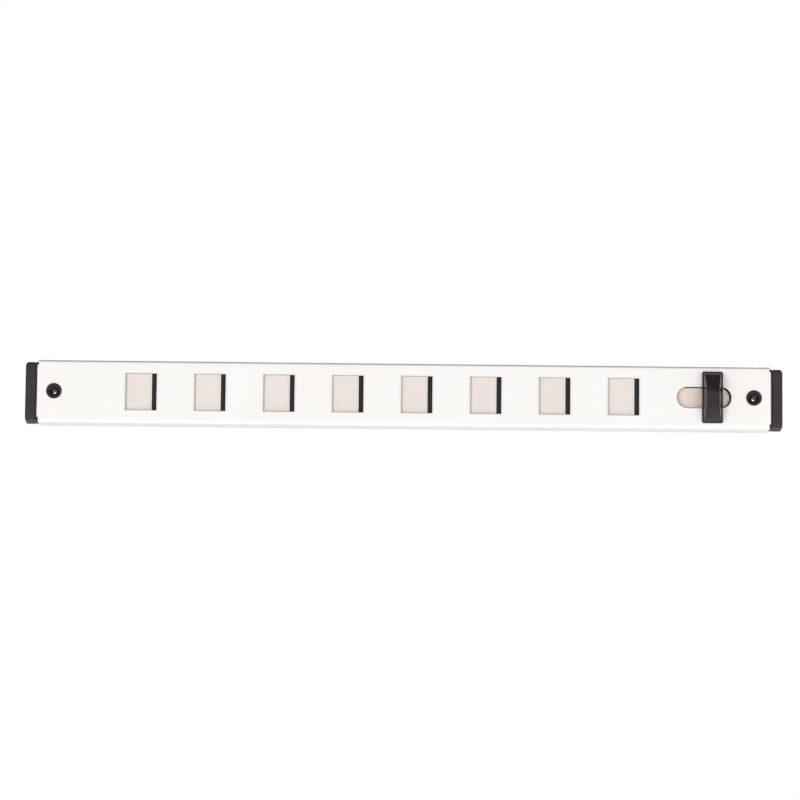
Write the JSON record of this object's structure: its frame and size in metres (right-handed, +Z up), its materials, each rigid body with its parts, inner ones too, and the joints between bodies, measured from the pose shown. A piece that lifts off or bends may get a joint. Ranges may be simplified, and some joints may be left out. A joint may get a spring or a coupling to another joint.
{
  "type": "knife magnetic rack",
  "caption": "Long wall-mounted magnetic knife rack: white folded-steel casing with a row of windows, black end caps, and a thumb knob that slides the magnets on and off.",
  "frame": {"origin": "middle of the wall face, halfway between the two wall screw holes", "axes": "+X along the rack, +Z up, the front face with its windows and knob faces -Y and the wall is at +Y"},
  "size_m": [0.5, 0.0268, 0.0414],
  "materials": {
    "casing_white": "semi-gloss white coating",
    "plate_zinc": "galvanised",
    "cap_black": "fine grain",
    "bush_black": "smooth",
    "knob_black": "smooth",
    "rail_natural": "natural",
    "screw_zinc": "zinc plated",
    "spring_steel": "blued",
    "carrier_pale": "fine grain, warm pale grey",
    "pole_bright": "bright",
    "yoke_steel": "plain steel",
    "arm_pale": "pale coating",
    "magnet_black": "pressed and sintered ferrite"
  },
  "bodies": {
    "rack": {"front_casing": "casing_white", "back_plate": "plate_zinc", "left_end_cap": "cap_black", "right_end_cap": "cap_black", "left_wall_bush": "bush_black", "right_wall_bush": "bush_black", "upper_guide_rail": "rail_natural", "lower_guide_rail": "rail_natural", "rail_screws": "screw_zinc", "left_drag_spring": "spring_steel", "right_drag_spring": "spring_steel", "spring_rivets": "screw_zinc"},
    "slide": {"carrier_strip": "carrier_pale", "magnet_1": "magnet_black", "magnet_2": "magnet_black", "magnet_3": "magnet_black", "magnet_4": "magnet_black", "magnet_5": "magnet_black", "magnet_6": "magnet_black", "magnet_7": "magnet_black", "magnet_8": "magnet_black", "pole_plates": "pole_bright", "magnet_yoke": "yoke_steel", "yoke_screws": "screw_zinc", "knob_arm": "arm_pale", "arm_rivets": "screw_zinc", "slider_knob": "knob_black", "knob_screws": "screw_zinc"}
  },
  "joints": [
    {"name": "knob_slide", "type": "slide", "parent": "rack", "child": "slide", "axis": [1, 0, 0], "range_m": [-0.017, 0.006]}
  ]
}
